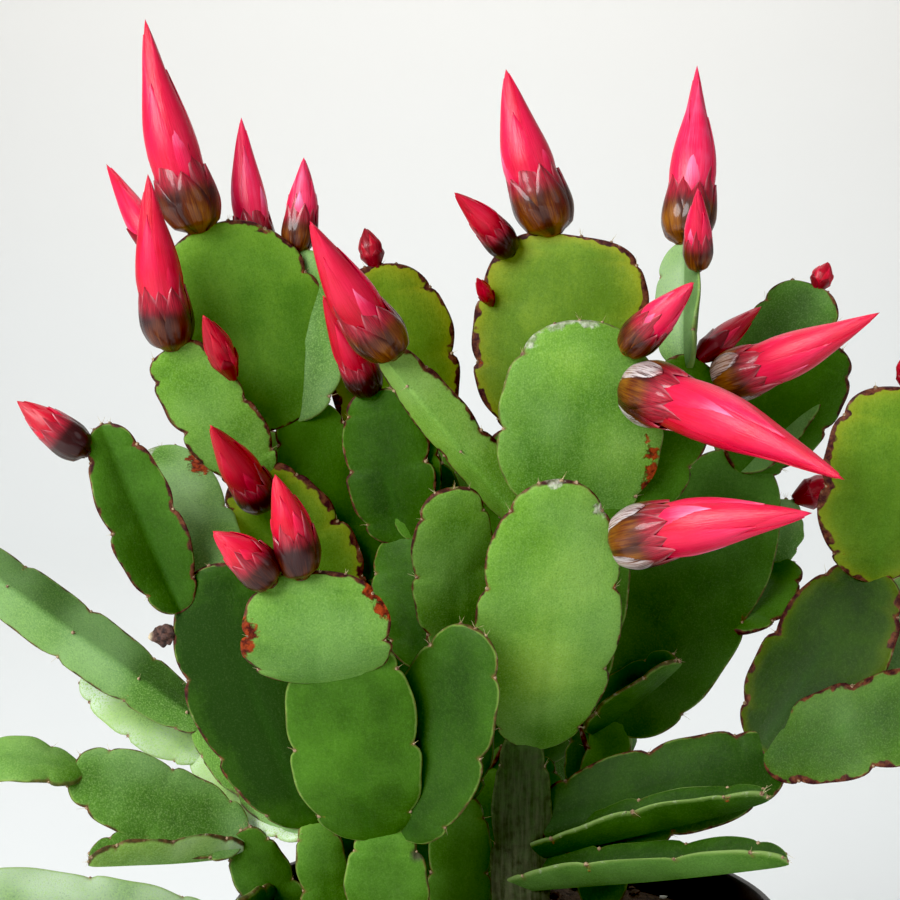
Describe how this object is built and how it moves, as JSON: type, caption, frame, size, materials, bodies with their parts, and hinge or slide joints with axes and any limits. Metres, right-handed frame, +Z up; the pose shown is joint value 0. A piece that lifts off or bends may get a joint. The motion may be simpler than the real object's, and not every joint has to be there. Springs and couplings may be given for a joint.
{
  "type": "easter cactus in a nursery pot",
  "caption": "Bushy easter cactus in bud: flat scalloped green stem segments in branching chains, crimson pointed buds in brown cups, in a round black nursery pot of soil.",
  "frame": {"origin": "centre of the pot's flat underside, at the level it stands on", "axes": "+Z up along the pot's axis, -Y towards the side the picture was taken from, +X to that view's right"},
  "size_m": [0.225, 0.154, 0.2985],
  "materials": {
    "pad_skin": "waxy green skin with purple-brown margins",
    "petal": "satin crimson petal",
    "calyx": "glossy amber-brown scale",
    "young_bud": "glossy dark crimson",
    "pot_plastic": "moulded matt plastic",
    "potting_soil": "moist peat with perlite"
  },
  "bodies": {
    "root": {"pot": "pot_plastic", "soil": "potting_soil", "stem_front_left": "pad_skin", "stem_left": "pad_skin", "stem_low_left": "pad_skin", "stem_centre": "pad_skin", "stem_inner": "pad_skin", "stem_upper_left": "pad_skin", "stem_back_mid": "pad_skin", "stem_right": "pad_skin", "stem_back_left": "pad_skin", "stem_back": "pad_skin", "calyx_top_left": "calyx", "petals_top_left": "petal", "calyx_left_upright": "calyx", "petals_left_upright": "petal", "calyx_left_pink": "calyx", "petals_left_pink": "petal", "calyx_left_pink_small": "calyx", "petals_left_pink_small": "petal", "calyx_inner_left": "calyx", "petals_inner_left": "petal", "calyx_inner_left_low": "calyx", "petals_inner_left_low": "petal", "calyx_far_left": "calyx", "petals_far_left": "petal", "calyx_shelf_back": "calyx", "petals_shelf_back": "petal", "calyx_shelf_right": "calyx", "petals_shelf_right": "petal", "calyx_shelf_left": "calyx", "petals_shelf_left": "petal", "calyx_crown": "calyx", "petals_crown": "petal", "calyx_crown_side": "calyx", "petals_crown_side": "petal", "calyx_spire": "calyx", "petals_spire": "petal", "calyx_spire_front": "calyx", "petals_spire_front": "petal", "calyx_shoulder_small": "calyx", "petals_shoulder_small": "petal", "calyx_shoulder_large": "calyx", "petals_shoulder_large": "petal", "calyx_right_large": "calyx", "petals_right_large": "petal", "calyx_front_right": "calyx", "petals_front_right": "petal", "calyx_back_left": "calyx", "petals_back_left": "petal", "bud_top_left_side": "young_bud", "bud_left_small": "young_bud", "bud_dark_tip": "young_bud", "bud_crown_low": "young_bud", "bud_middle_tiny": "young_bud", "bud_right_small": "young_bud", "bud_top_right": "young_bud", "bud_right_behind": "young_bud", "bud_far_right": "young_bud", "bud_back_right": "young_bud"}
  },
  "joints": []
}
